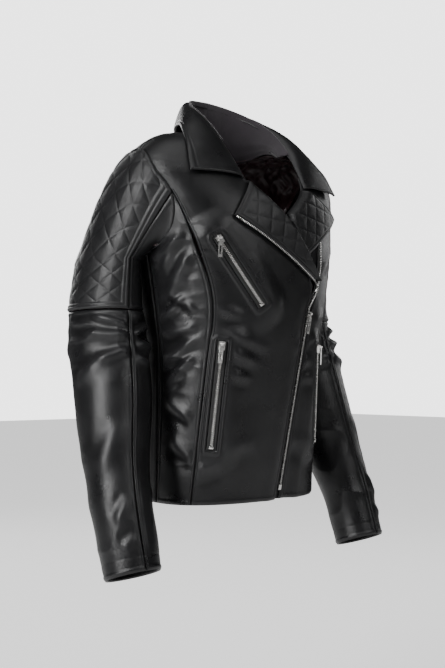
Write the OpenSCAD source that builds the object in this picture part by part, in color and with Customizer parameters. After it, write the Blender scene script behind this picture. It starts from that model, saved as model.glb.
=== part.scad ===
// Cropped riding jacket with an asymmetric front zip, on a wearer's shape with the arms hanging.
// Millimetres. X is the wearer's left, -Y is the front, +Z is up. The origin is the hanger loop.
// The shapes are worked out from the hem upwards and are moved to the loop at the end.

/* [Body] */
// Height of the nape seam above the hem
body_height = 535; // [480:1:590]
// Half width of the body at the hem
hem_half_width = 138; // [128:1:155]
// Half width at the waist
waist_half_width = 134; // [120:1:145]
// Half width at the bust
bust_half_width = 158; // [145:1:170]
// Half width across the yoke, before the shoulders round over
yoke_half_width = 190; // [178:1:205]
// How far the front stands before the middle plane at the hem
hem_front = 88; // [80:1:100]
// How far the front stands before the middle plane at the bust
bust_front = 128; // [115:1:140]
// How far the back stands behind the middle plane at the upper back
back_depth = 116; // [100:1:130]
// How square the body's cross-section is; 1 is an ellipse
body_squareness = 0.8; // [0.7:0.05:1]

/* [Neck and collar] */
// Half width of the neck opening
neck_half_width = 70; // [62:1:80]
// How far the collar's fold stands above the nape seam
collar_rise = 86; // [70:1:95]
// Distance of each collar tip from the middle
collar_tip_reach = 142; // [125:1:160]
// Height of the collar tips below the nape seam
collar_tip_drop = 70; // [50:1:90]
// Thickness of the collar leaf
collar_wall = 3; // [2:0.5:5]

/* [Sleeves] */
// Height of the armhole
armhole_height = 138; // [120:1:150]
// Half the armhole's sweep round the body, in degrees
armhole_sweep = 27; // [22:1:32]
// Drop from the elbow seam to the cuff
forearm_drop = 357; // [325:1:390]
// Half width of the sleeve at the elbow
elbow_half_width = 49; // [44:1:52]
// Half depth of the sleeve at the elbow
elbow_half_depth = 65; // [54:1:68]
// Radius of the cuff
cuff_radius = 38; // [34:1:46]

/* [Leather and cloth] */
// Thickness of the shell leather
leather = 2; // [1:0.1:3]
// Thickness of the lining
lining = 0.8; // [0.5:0.1:1.5]
// Clearance between layers and round the joints
gap = 0.4; // [0.3:0.1:1]

/* [Zips] */
// Width of a closed chain of teeth
chain_width = 6; // [5:0.5:8]
// Height of the teeth above their tape
chain_rise = 2.4; // [2:0.1:3.5]
// Half width of the channel between the leather edges beside a chain
channel_half = 6; // [5.5:0.1:8]
// Length of the hand-pocket zips
pocket_zip_length = 146; // [120:1:160]
// Length of the chest zip
chest_zip_length = 112; // [90:1:125]
// Length of the pulls on the pocket zips
pocket_pull_length = 27; // [18:1:36]
// Length of the pull on the main zip
main_pull_length = 30; // [20:1:40]

/* [Hidden] */
// Heights that the cross-section stations stand at, as the body height sets them
waist_z = 0.383 * body_height;
slider_z = 0.5065 * body_height;
bend_z = 0.587 * body_height;
bust_z = 0.682 * body_height;
notch_z = 0.869 * body_height;
yoke_z = 0.897 * body_height;
armhole_z = 0.806 * body_height;
v_z = 0.766 * body_height;
nape_z = body_height;
side_neck_z = nape_z + 6;
cap_run = 120;
// How squarely the shoulders stand out before they drop to the sleeves
shoulder_fullness = 3.3;
armhole_half = armhole_height / 2;
armhole_low = armhole_z - armhole_half;
armhole_top = armhole_z + armhole_half;
princess_top = armhole_z + 9;
princess_arm_angle = front_arm_angle(princess_top);

stations = [0, waist_z, slider_z, bust_z, armhole_z, yoke_z];
half_widths = [hem_half_width, waist_half_width, waist_half_width + 7, bust_half_width,
    (bust_half_width + yoke_half_width) / 2 - 3, yoke_half_width];
fronts = [hem_front, hem_front + 0.66 * (bust_front - hem_front), bust_front - 4, bust_front,
    bust_front - 10, bust_front - 34];
backs = [back_depth - 2, back_depth - 24, back_depth - 18, back_depth - 2, back_depth, back_depth - 14];
rows = [0, 0.084 * body_height, 0.168 * body_height, 0.252 * body_height, 0.336 * body_height,
    0.42 * body_height, slider_z, bend_z, armhole_low, armhole_low + 22, v_z, princess_top,
    armhole_z + 30, yoke_z, (yoke_z + armhole_top) / 2, armhole_top, yoke_z + 32, yoke_z + 45, yoke_z + 62,
    yoke_z + 80, yoke_z + 100, yoke_z + cap_run];

// Main zip: sideways place of the chain at the bottom, at the slider and at the bend
zip_bottom_z = 23;
zip_bottom_x = 24;
zip_slider_x = 53;
zip_bend_x = 65;
// Sideways place of the roll line at the collar's notch and at the neck seam
notch_x = 56;
neck_corner_x = 62;

// Layers, as distances in from the outer face of the shell
tape_in = leather + gap / 2;
tape_wall = 1;
bag_in = tape_in + tape_wall + gap;
bag_wall = 2;
lining_in = bag_in + bag_wall + 2 * gap;
// Turned edges, which lie against panels that bend more sharply than they do
turning_in = leather + 3 * gap;
// The straight main chain lies deeper than the tapes' layer, because the front bulges over it
chain_low_in = tape_in + 3;
chain_high_in = tape_in + 1.8;
placket_in = chain_low_in + tape_wall + 2.2;
lapel_lift = 4;
loop_point = [0, 54, nape_z + 6];

leather_black = [0.07, 0.07, 0.075];
quilt_black = [0.1, 0.1, 0.105];
suede_plum = [0.2, 0.16, 0.2];
satin_maroon = [0.28, 0.08, 0.1];
nickel = [0.75, 0.75, 0.77];
tape_black = [0.05, 0.05, 0.05];

// ---- smooth values and the body's surface ----

function unit(v) = v / norm(v);
function mix(a, b, t) = a + (b - a) * t;
function span(z, zs, i = 0) = (i >= len(zs) - 2 || z < zs[i + 1]) ? i : span(z, zs, i + 1);
// Value at z of a smooth curve through the stations (zs, vs)
function smooth_at(z, zs, vs) =
    let (i = span(z, zs), n = len(zs) - 1, h = zs[i + 1] - zs[i], t = (z - zs[i]) / h,
        m0 = i == 0 ? (vs[1] - vs[0]) / h : (vs[i + 1] - vs[i - 1]) / (zs[i + 1] - zs[i - 1]),
        m1 = i == n - 1 ? (vs[n] - vs[n - 1]) / h : (vs[i + 2] - vs[i]) / (zs[i + 2] - zs[i]))
    (2 * t ^ 3 - 3 * t ^ 2 + 1) * vs[i] + (t ^ 3 - 2 * t ^ 2 + t) * h * m0
    + (-2 * t ^ 3 + 3 * t ^ 2) * vs[i + 1] + (t ^ 3 - t ^ 2) * h * m1;
function rounded(v) = sign(v) * abs(v) ^ body_squareness;

function half_width(z) = smooth_at(z, stations, half_widths);
function front(z) = smooth_at(z, stations, fronts);
function back(z) = smooth_at(z, stations, backs);
// Cross-section at height z: angle 0 is the front, 90 the wearer's left, 180 the back
function ring_point(a, z, inset) =
    [(half_width(z) - inset) * rounded(sin(a)),
    -((cos(a) > 0 ? front(z) : back(z)) - inset) * rounded(cos(a)), z];
function neck_point(a, inset) =
    [(neck_half_width) * sin(a), cos(a) > 0 ? -50 * cos(a) : -64 * cos(a),
    side_neck_z - (cos(a) > 0 ? 21 : 6) * cos(a) ^ 2 - inset];
// The whole outer surface: s is the height up to the yoke, and beyond it runs over the shoulder
function skin_at(a, s, inset) =
    s <= yoke_z ? ring_point(a, s, inset)
    : let (t = (s - yoke_z) / cap_run, low = ring_point(a, yoke_z, inset), top = neck_point(a, 0))
        [mix(low[0], top[0], t), mix(low[1], top[1], t),
        yoke_z + (top[2] - yoke_z) * (1 - (1 - t) ^ shoulder_fullness) - inset * sqrt(t)];
function angle_at(x, z) = asin(sign(x) * min(1, (abs(x) / half_width(z)) ^ (1 / body_squareness)));
function at_x(x, z, inset) = skin_at(angle_at(x, z), z, inset);

// ---- seam lines, as angles at a height ----

function arm_offset(s) = armhole_sweep * sqrt(max(0, 1 - ((s - armhole_z) / armhole_half) ^ 2));
function front_arm_angle(s) = 90 - arm_offset(s);
function back_arm_angle(s) = 90 + arm_offset(s);
function princess_angle(s) =
    smooth_at(s, [0, waist_z, 0.54 * body_height, 0.7 * body_height, princess_top],
        [56, 50, 46, 55, princess_arm_angle]);
function front_outer_angle(s) =
    s < princess_top ? princess_angle(s) : s < armhole_top ? front_arm_angle(s) : 90;
function zip_x(z) = z < slider_z
    ? mix(zip_bottom_x, zip_slider_x, (z - zip_bottom_z) / (slider_z - zip_bottom_z))
    : mix(zip_slider_x, zip_bend_x, (z - slider_z) / (bend_z - slider_z));
// Sideways place of the right front's roll line, which crosses the middle at the bottom of the V
function roll_x(z) =
    smooth_at(z, [bend_z, v_z, notch_z, nape_z - 9], [zip_bend_x, 0, -notch_x, -neck_corner_x]);
neck_corner_angle = 62;
// The channel beside the roll line closes from the bend to the bottom of the V
function roll_channel(s) = channel_half * (v_z - min(s, v_z)) / (v_z - bend_z);
function over_yoke(angle_at_yoke, s) = mix(angle_at_yoke, neck_corner_angle, (s - yoke_z) / cap_run);
function right_edge_angle(s) =
    s > yoke_z ? -over_yoke(angle_at(-roll_x(yoke_z), yoke_z), s)
    : angle_at(s < bend_z ? zip_x(s) - channel_half : roll_x(s) - roll_channel(s), s);
function left_edge_angle(s) =
    s > yoke_z ? over_yoke(angle_at(-roll_x(yoke_z), yoke_z), s)
    : angle_at(s < bend_z ? zip_x(s) + channel_half
        : max(roll_x(s) + roll_channel(s) + 1.5, -roll_x(s)), s);

// ---- building blocks ----

// Closed solid between an outer and an inner grid of points; wrap joins the last column to the first
module grid_solid(outer, inner, wrap = false) {
    nr = len(outer);
    nc = len(outer[0]);
    n = nr * nc;
    r0 = floor((nr - 1) / 2);
    c0 = floor((nc - 1) / 2);
    facing = cross(outer[r0][c0 + 1] - outer[r0][c0], outer[r0 + 1][c0] - outer[r0][c0])
        * (outer[r0][c0] - inner[r0][c0]) > 0;
    last = wrap ? nc - 1 : nc - 2;
    quads = concat(
        [for (r = [0:nr - 2], c = [0:last]) let (d = (c + 1) % nc)
            [r * nc + c, (r + 1) * nc + c, (r + 1) * nc + d, r * nc + d]],
        [for (r = [0:nr - 2], c = [0:last]) let (d = (c + 1) % nc)
            [n + r * nc + c, n + r * nc + d, n + (r + 1) * nc + d, n + (r + 1) * nc + c]],
        [for (c = [0:last]) let (d = (c + 1) % nc) [c, d, n + d, n + c]],
        [for (c = [0:last]) let (d = (c + 1) % nc, e = (nr - 1) * nc)
            [e + c, n + e + c, n + e + d, e + d]],
        wrap ? [] : [for (r = [0:nr - 2]) [r * nc, n + r * nc, n + (r + 1) * nc, (r + 1) * nc]],
        wrap ? [] : [for (r = [0:nr - 2]) let (e = nc - 1)
            [r * nc + e, (r + 1) * nc + e, n + (r + 1) * nc + e, n + r * nc + e]]);
    faces = [for (q = quads) each facing ? [[q[0], q[1], q[2]], [q[0], q[2], q[3]]]
        : [[q[0], q[2], q[1]], [q[0], q[3], q[2]]]];
    polyhedron([for (g = [outer, inner]) for (row = g) each row], faces);
}

// Piece of the body's surface between two seam angles, with columns of equal spacing
module body_piece(stops, from_angle, to_angle, columns, inset, wall) {
    function layer(depth) = [for (s = stops) [for (j = [0:columns])
        skin_at(mix(from_angle(s), to_angle(s), j / columns), s, depth)]];
    grid_solid(layer(inset), layer(inset + wall));
}

// Strip of cloth or metal through a list of [point, outward direction] pairs
module strip(route, half, low, high, shift = 0) {
    n = len(route) - 1;
    function along(i) = unit(route[min(i + 1, n)][0] - route[max(i - 1, 0)][0]);
    function corner(i, side, lift) = let (out = route[i][1], across = unit(cross(out, along(i))))
        route[i][0] + across * (shift + side * half) + out * lift;
    grid_solid([for (i = [0:n]) [corner(i, -1, high), corner(i, 1, high)]],
        [for (i = [0:n]) [corner(i, -1, low), corner(i, 1, low)]]);
}
function outward(x, z) = unit(at_x(x, z, -1) - at_x(x, z, 0));
function on_shell(x, z, inset) = [at_x(x, z, inset), outward(x, z)];

module place() translate(-loop_point) children();
module shell(c) color(c) place() children();

// ---- shell of the body ----

side_rows = [for (s = rows) if (s <= princess_top) s];

module back_panel() shell(leather_black)
    body_piece(rows, function(s) back_limit(s), function(s) 360 - back_limit(s), 24, 0, leather);
function back_limit(s) = s < armhole_low || s > armhole_top ? 90 : back_arm_angle(s);

module right_front() shell(leather_black)
    body_piece(rows, function(s) -front_outer_angle(s), function(s) right_edge_angle(s), 10, 0, leather);
module left_front() shell(leather_black)
    body_piece(rows, function(s) left_edge_angle(s), function(s) front_outer_angle(s), 7, 0, leather);

module side_panel()
    body_piece(side_rows, function(s) princess_angle(s),
        function(s) s < armhole_low ? 90 : max(front_arm_angle(s), princess_angle(s) + 1), 4, 0, leather);
module left_side_panel() shell(leather_black) side_panel();
module right_side_panel() shell(leather_black) mirror([1, 0, 0]) side_panel();

// Leather strip that lies behind the closed chain and keeps the wind out
placket_half = 18;
placket_stops = [for (s = rows) if (s > zip_bottom_z && s <= v_z) s];
function placket_angle(s, side) = angle_at(zip_x(min(s, bend_z)) + side * placket_half, s);
module placket() shell(leather_black)
    body_piece(placket_stops, function(s) placket_angle(s, -1), function(s) placket_angle(s, 1), 5,
        placket_in, bag_wall);

// Turning at the hem, round the sides and the back
hem_rows = [1, 14, 28];
hem_start = 60;
module hem_facing() shell(leather_black)
    body_piece(hem_rows, function(s) hem_start, function(s) 360 - hem_start, 40, turning_in, tape_wall);

// ---- collar and lapels ----

collar_steps = [0, 1, 2, 3, 4, 5];
tip_z = nape_z - collar_tip_drop;
fold_z = nape_z + collar_rise;
notch = at_x(notch_x + 3, notch_z, -lapel_lift - 2);
fold_line = [[0, 60, fold_z], [40, 50, fold_z - 6], [64, 16, fold_z - 26], [70, -26, fold_z - 56],
    [68, -66, nape_z - 11], notch];
leaf_edge = [[0, 90, nape_z + 20], [47, 73, nape_z + 20], [86, 27, nape_z + 19], [110, -18, nape_z + 11],
    [collar_tip_reach - 9, -65, tip_z + 40], [collar_tip_reach, -86, tip_z]];
neck_seam = [[0, 62, nape_z + 2], [36, 56, nape_z + 3], [60, 28, nape_z + 7], [65, -10, nape_z + 6],
    [60, -44, nape_z - 12], [56, -78, nape_z - 50]];

function mirrored(p, side) = [side * p[0], p[1], p[2]];
function collar_at(u, line) =
    let (p = smooth_at(abs(u), collar_steps, line)) mirrored(p, sign(u) < 0 ? -1 : 1);
function leaf_point(u, w, lift) =
    let (a = collar_at(u, fold_line), b = collar_at(u, leaf_edge),
        out = unit([0.5 * (a[0] + b[0]), 0.5 * (a[1] + b[1]), 75]))
    mix(a, b, w) + out * (lift + 7 * sin(180 * w) + 2);
module collar_leaf() {
    leaf_shares = [0, 0.15, 0.4, 0.7, 1];
    function leaf(lift) = [for (w = leaf_shares) [for (i = [-12:12]) leaf_point(i * 5 / 12, w, lift)]];
    shell(leather_black) grid_solid(leaf(collar_wall), leaf(0));
}
function facing_point(u, w, depth) =
    let (a = collar_at(u, neck_seam), b = collar_at(u, fold_line),
        inwards = unit([-b[0], -b[1] - (abs(u) > 3 ? -40 * (abs(u) - 3) : 0), 0]))
    mix(a, b, w) + inwards * depth + [0, 0, 3 * (1 - w) - 1 * w];
module collar_facing() {
    function face(depth) =
        [for (w = [0, 0.5, 1]) [for (i = [-12:12]) facing_point(i * 4 / 12, w, depth)]];
    shell(suede_plum) grid_solid(face(1), face(1 + leather));
}

// Each lapel lies over its front, between its roll line and its outer edge
lapel_corner = [-87, 0.757 * body_height];
left_tip = [130, 0.795 * body_height];
left_low = [45, 0.684 * body_height];
function lapel_point(roll, edge, w, lift) =
    let (p = mix(roll, edge, w)) at_x(p[0], p[1], -lapel_lift - lift - 3 * (1 - w) ^ 2);
module lapel(roll_from, roll_to, edge_from, edge_to) {
    function face(lift) = [for (i = [0:8]) [for (j = [0:4])
        lapel_point(mix(roll_from, roll_to, i / 8), mix(edge_from, edge_to, i / 8), j / 4, lift)]];
    grid_solid(face(collar_wall), face(0));
}
module right_lapel() shell(quilt_black)
    lapel([roll_x(notch_z - 4), notch_z - 4], [roll_x(bend_z + 8), bend_z + 8], lapel_corner,
        [zip_bend_x - 14, bend_z + 10]);
module left_lapel() shell(quilt_black)
    lapel([-roll_x(notch_z - 4), notch_z - 4], [roll_x(v_z) + 9, v_z], left_tip, left_low);

// ---- sleeves ----

elbow_z = 0.514 * body_height;
bicep_z = elbow_z + 71;
cuff_z = elbow_z - forearm_drop;
// Centre X, centre Y, half width, half depth at each station of the sleeve below the bicep
sleeve_heights = [cuff_z, cuff_z + 0.216 * forearm_drop, cuff_z + 0.405 * forearm_drop,
    cuff_z + 0.663 * forearm_drop, elbow_z, bicep_z];
sleeve_sizes = [[220, -64, cuff_radius, cuff_radius], [219, -37, cuff_radius + 3, cuff_radius + 3],
    [212, -10, elbow_half_width - 4, elbow_half_depth - 18],
    [199, 20, elbow_half_width + 5, elbow_half_depth - 7],
    [190, 55, elbow_half_width, elbow_half_depth], [190, 53, elbow_half_width - 11, elbow_half_depth + 1]];
cuff_tilt = 20;
// The sleeve's top edge lies this far inside the armhole
sleeve_seam_in = 3;
seam_front = -86;
seam_back = 90;

function sleeve_ring(p, z, inset) =
    let (s = smooth_at(z, sleeve_heights, sleeve_sizes),
        tilt = cuff_tilt * max(0, elbow_z - z) / forearm_drop)
    [s[0] + (s[2] - inset) * cos(p), s[1] + (s[3] - inset) * sin(p) * cos(tilt),
    z - (s[3] - inset) * sin(p) * sin(tilt)];
function armhole_point(p, inset) =
    let (d = inset + sleeve_seam_in)
    skin_at(90 + (armhole_sweep - d / 3) * sin(p), armhole_z + (armhole_half - d) * cos(p),
        inset * max(0, cos(p)) - 6 * gap);
// Upper sleeve: k runs from 0 at the armhole to 1 at the elbow
function upper_point(p, k, inset) =
    k > 0.6 ? sleeve_ring(p, mix(bicep_z, elbow_z, (k - 0.6) / 0.4), inset)
    : let (t = k / 0.6, a = armhole_point(p, inset), b = sleeve_ring(p, bicep_z, inset))
        mix(a, b, t) + [7, 0, 5] * sin(180 * t) * max(0, cos(p));
upper_steps = [0, 0.1, 0.2, 0.35, 0.5, 0.6, 0.8, 1];
forearm_drops = [0, 0.1, 0.2, 0.337, 0.5, 0.65, 0.82, 1];

module upper_piece(p_from, p_to, inset, wall) {
    function layer(depth) = [for (k = upper_steps) [for (j = [0:9])
        upper_point(mix(p_from, p_to, j / 9), k, depth)]];
    grid_solid(layer(inset), layer(inset + wall));
}
module forearm_piece(p_from, p_to, inset, wall) {
    function layer(depth) = [for (k = forearm_drops) [for (j = [0:9])
        sleeve_ring(mix(p_from, p_to, j / 9), elbow_z - 2 * gap - k * (forearm_drop - 2 * gap), depth)]];
    grid_solid(layer(inset), layer(inset + wall));
}
module quilted_upper() upper_piece(seam_front, seam_back, 0, leather);
module under_upper() upper_piece(seam_back, 360 + seam_front, 0, leather);
module forearm_outer() forearm_piece(seam_front, seam_back, 0, leather);
module forearm_inner() forearm_piece(seam_back, 360 + seam_front, 0, leather);
module left_quilted_upper() shell(quilt_black) quilted_upper();
module right_quilted_upper() shell(quilt_black) mirror([1, 0, 0]) quilted_upper();
module left_under_upper() shell(leather_black) under_upper();
module right_under_upper() shell(leather_black) mirror([1, 0, 0]) under_upper();
module left_forearm_outer() shell(leather_black) forearm_outer();
module right_forearm_outer() shell(leather_black) mirror([1, 0, 0]) forearm_outer();
module left_forearm_inner() shell(leather_black) forearm_inner();
module right_forearm_inner() shell(leather_black) mirror([1, 0, 0]) forearm_inner();

// Tube inside the sleeve, from one height to another
module sleeve_tube(z_low, z_high, inset, wall) {
    function layer(depth) = [for (k = [0:6]) [for (j = [0:35])
        sleeve_ring(10 * j, mix(z_low, z_high, k / 6), depth)]];
    grid_solid(layer(inset), layer(inset + wall), true);
}
cuff_facing_height = 32;
module cuff_facing() sleeve_tube(cuff_z + 1, cuff_z + cuff_facing_height, turning_in, tape_wall);
module left_cuff_facing() shell(leather_black) cuff_facing();
module right_cuff_facing() shell(leather_black) mirror([1, 0, 0]) cuff_facing();
module sleeve_lining()
    sleeve_tube(cuff_z + cuff_facing_height - 10, bicep_z, turning_in + tape_wall + 3 * gap, lining);
module left_sleeve_lining() shell(satin_maroon) sleeve_lining();
module right_sleeve_lining() shell(satin_maroon) mirror([1, 0, 0]) sleeve_lining();

// ---- inside of the body ----

module body_lining() shell(satin_maroon) {
    lining_rows = [for (s = rows) s == 0 ? 20 : s];
    body_piece(lining_rows, function(s) back_limit(s), function(s) 360 - back_limit(s), 24,
        lining_in, lining);
    body_piece(lining_rows, function(s) -front_limit(s), function(s) right_edge_angle(s) - 12, 10,
        lining_in, lining);
    body_piece(lining_rows, function(s) left_edge_angle(s) + 12, function(s) front_limit(s), 8,
        lining_in, lining);
}
function front_limit(s) = s < armhole_low || s > armhole_top ? 89.6 : front_arm_angle(s);

pad_stops = [for (s = rows) if (s > armhole_top + 5 && s <= yoke_z + 80) s];
module shoulder_pad()
    body_piece(pad_stops, function(s) 72, function(s) 108, 4, tape_in + gap, bag_wall + 1);
module left_shoulder_pad() shell(tape_black) shoulder_pad();
module right_shoulder_pad() shell(tape_black) mirror([1, 0, 0]) shoulder_pad();

bag_stops = [0.12 * body_height, 0.2 * body_height, 0.3 * body_height, 0.41 * body_height];
module pocket_bag() body_piece(bag_stops, function(s) 30, function(s) 43, 3, bag_in, bag_wall);
module right_pocket_bag() shell(tape_black) mirror([1, 0, 0]) pocket_bag();
module left_pocket_bag() shell(tape_black) pocket_bag();
chest_bag_stops = [0.53 * body_height, 0.58 * body_height, 0.64 * body_height];
module chest_pocket_bag() shell(tape_black) mirror([1, 0, 0])
    body_piece(chest_bag_stops, function(s) 10, function(s) 34, 4, bag_in, bag_wall);

loop_half_span = 28;
module hanger_loop() shell(tape_black)
    strip([for (k = [-1:0.25:1]) [loop_point + [k * loop_half_span, 3.5 * k ^ 2, -10 * k ^ 2], [0, -1, 0]]],
        4, -0.8, 0.8);

// ---- main zip ----

main_low = at_x(zip_x(zip_bottom_z), zip_bottom_z, chain_low_in);
main_high = at_x(zip_x(slider_z), slider_z, chain_high_in);
main_up = unit(main_high - main_low);
main_out = let (o = outward(zip_slider_x, slider_z) + outward(zip_bottom_x, zip_bottom_z))
    unit(o - main_up * (o * main_up));
straight_over = 12;
chain_half = chain_width / 4;
straight_chain = [[main_low, main_out], [main_high + main_up * straight_over, main_out]];
// Where the right row leaves the chain and runs up the edge of the lapel
right_row = [on_shell(zip_bend_x - 3, bend_z - 8, -1), on_shell(zip_bend_x - 4, bend_z - 1, -3),
    on_shell(zip_bend_x - 11, bend_z + 5, -lapel_lift - 1),
    for (k = [0.25, 0.5, 0.75, 1]) let (p = mix([zip_bend_x - 14, bend_z + 7], lapel_corner + [1, -3], k))
        on_shell(p[0], p[1], -lapel_lift - 1)];
left_row_in = -1.2;
left_row = [on_shell(zip_bend_x + 2, bend_z - 8, left_row_in),
    on_shell(zip_bend_x + 5, bend_z + 12, left_row_in),
    on_shell(zip_bend_x + 9, bend_z + 36, left_row_in), on_shell(zip_bend_x + 13, v_z - 4, left_row_in)];
row_shift = chain_half + 0.1;
module main_teeth_right() shell(nickel)
    strip(concat(straight_chain, right_row), chain_half, 0.05, chain_rise, -row_shift * row_side);
module main_teeth_left() shell(nickel)
    strip(concat(straight_chain, left_row), chain_half, 0.05, chain_rise, row_shift * row_side);
row_side = cross(main_out, main_up)[0] > 0 ? 1 : -1;
tape_half = 4.2;
module main_tape(side) shell(tape_black)
    strip(straight_chain, tape_half - 0.2, -tape_wall, 0, side * row_side * tape_half);
module main_tape_right() main_tape(-1);
module main_tape_left() main_tape(1);

// Turns a part's local axes to a chain: local Z runs up the chain and local Y points away from the cloth
module on_chain(at, up, out) {
    across = cross(out, up);
    multmatrix([[across[0], out[0], up[0], at[0]], [across[1], out[1], up[1], at[1]],
        [across[2], out[2], up[2], at[2]], [0, 0, 0, 1]]) children();
}
plate_low = chain_rise + gap;
plate_wall = 1.5;
plate_half = channel_half - gap - 1.1;
bar_radius = 0.8;
bar_lift = plate_low + plate_wall + 2.1;
bar_up = 3;
eye_radius = 1.9;
lug_wall = 1.1;
lug_inner = 1.7;
slider_length = 12;
module slider_body(crown_turn = 0) {
    flange = 1;
    translate([-plate_half, plate_low, -slider_length / 2]) cube([2 * plate_half, plate_wall, slider_length]);
    for (side = [-1, 1])
        translate([side > 0 ? plate_half - flange : -plate_half, gap, -slider_length / 2 + 1])
            cube([flange, plate_low - gap + 0.1, slider_length - 2]);
    rotate([0, crown_turn, 0]) {
        for (side = [-1, 1])
            translate([side > 0 ? lug_inner : -lug_inner - lug_wall, 0, 0]) {
                translate([0, plate_low + plate_wall - 0.1, bar_up - 1.6])
                    cube([lug_wall, bar_lift - plate_low - plate_wall + 0.1, 3.2]);
                translate([0, bar_lift, bar_up]) rotate([0, 90, 0]) cylinder(r = 1.6, h = lug_wall, $fn = 24);
            }
        translate([-lug_inner - 0.1, bar_lift, bar_up]) rotate([0, 90, 0])
            cylinder(r = bar_radius, h = 2 * lug_inner + 0.2, $fn = 24);
    }
}
module pull_body(length, turn = 0) {
    bar_width = 6;
    thick = 1.6;
    eye_half = lug_inner - gap;
    rotate([0, turn, 0]) translate([0, bar_lift, bar_up]) difference() {
        union() {
            rotate([0, 90, 0]) translate([0, 0, -eye_half])
                cylinder(r = eye_radius, h = 2 * eye_half, $fn = 24);
            translate([-eye_half, -thick / 2, -6]) cube([2 * eye_half, thick, 6]);
            translate([-bar_width / 2, -thick / 2, -length]) cube([bar_width, thick, length - 5]);
        }
        rotate([0, 90, 0]) translate([0, 0, -4]) cylinder(r = bar_radius + gap, h = 8, $fn = 24);
        translate([-1.1, -2, -length + 4]) cube([2.2, 4, length - 15]);
    }
}
module main_slider() shell(nickel) on_chain(main_high, main_up, main_out) slider_body();
module main_pull() shell(nickel) on_chain(main_high, main_up, main_out) pull_body(main_pull_length);
module main_bottom_box() shell(nickel) on_chain(main_low - main_up * 4.5, main_up, main_out)
    translate([-chain_half * 2 - 0.5, 0.1, -4]) cube([chain_half * 4 + 1, chain_rise, 8]);

// ---- pocket zips ----

// A pocket zip lies on a straight line just proud of the shell, from its top down to its low end
pocket_lift = 3;
function zip_line(top, low, length, lift) =
    let (a = at_x(top[0], top[1], 0), b = at_x(low[0], low[1], 0), up = unit(a - b),
        o = outward(top[0], top[1]) + outward(low[0], low[1]), out = unit(o - up * (o * up)))
    [a + out * lift, up, out, length];
right_line = zip_line([-94, 0.417 * body_height], [-99, 0.15 * body_height], pocket_zip_length, pocket_lift);
left_line = zip_line([82, 0.417 * body_height], [99, 0.15 * body_height], pocket_zip_length, pocket_lift);
chest_lift = pocket_lift + 2.6;
chest_line = zip_line([-109, 0.69 * body_height], [-42, 0.518 * body_height], chest_zip_length, chest_lift);
zip_end = 6;
module zip_tape(line) shell(tape_black) on_chain(line[0], line[1], line[2])
    translate([-6.5, -tape_wall, -line[3]]) cube([13, tape_wall, line[3] + 2 * zip_end]);
module zip_teeth(line) shell(nickel) on_chain(line[0], line[1], line[2]) {
    translate([-chain_width / 2, 0.05, -line[3] + zip_end]) cube([chain_width, chain_rise, line[3]]);
    translate([-chain_width / 2 - 0.4, 0.05, -line[3] + 1])
        cube([chain_width + 0.8, chain_rise, zip_end - 1.5]);
}
module zip_slider(line, turn = 0) shell(nickel) on_chain(line[0], line[1], line[2]) slider_body(turn);
module zip_pull(line, turn = 0) shell(nickel) on_chain(line[0], line[1], line[2])
    pull_body(pocket_pull_length, turn);
// The chest slider's crown is turned so that its pull hangs straight down from the slanting chain
chest_turn = asin(chest_line[1] * unit(cross([0, 0, 1], chest_line[2])));

module right_pocket_tape() zip_tape(right_line);
module right_pocket_teeth() zip_teeth(right_line);
module right_pocket_slider() zip_slider(right_line);
module right_pocket_pull() zip_pull(right_line);
module left_pocket_tape() zip_tape(left_line);
module left_pocket_teeth() zip_teeth(left_line);
module left_pocket_slider() zip_slider(left_line);
module left_pocket_pull() zip_pull(left_line);
module chest_tape() zip_tape(chest_line);
module chest_teeth() zip_teeth(chest_line);
module chest_slider() zip_slider(chest_line, chest_turn);
module chest_pull() zip_pull(chest_line, chest_turn);

back_panel();
right_front();
left_front();
right_side_panel();
left_side_panel();
placket();
right_lapel();
left_lapel();
collar_leaf();
collar_facing();
right_quilted_upper();
left_quilted_upper();
right_under_upper();
left_under_upper();
right_forearm_outer();
left_forearm_outer();
right_forearm_inner();
left_forearm_inner();
right_cuff_facing();
left_cuff_facing();
hem_facing();
body_lining();
right_sleeve_lining();
left_sleeve_lining();
right_shoulder_pad();
left_shoulder_pad();
chest_pocket_bag();
right_pocket_bag();
left_pocket_bag();
hanger_loop();
main_tape_right();
main_tape_left();
main_teeth_right();
main_teeth_left();
main_bottom_box();
main_slider();
main_pull();
chest_tape();
chest_teeth();
chest_slider();
chest_pull();
right_pocket_tape();
right_pocket_teeth();
right_pocket_slider();
right_pocket_pull();
left_pocket_tape();
left_pocket_teeth();
left_pocket_slider();
left_pocket_pull();
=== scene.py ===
# %% [markdown]
# # A cropped leather riding jacket
#
# The jacket hangs as if somebody wore it, with its arms down. It is sewn from black leather panels,
# so each panel is made here as its own piece. Every piece starts as a flat grid, which is then laid
# on the body's shape and given its folds, its seams and its quilting. Cloth simulation could drape
# the panels, but the leather is stiff and the seams hold it close to the body, so moving the grid's
# points by a rule gives closer control of where each fold lies.

# %% The frame
import math

import bmesh
import bpy
import numpy as np
from mathutils import Matrix, Vector


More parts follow.
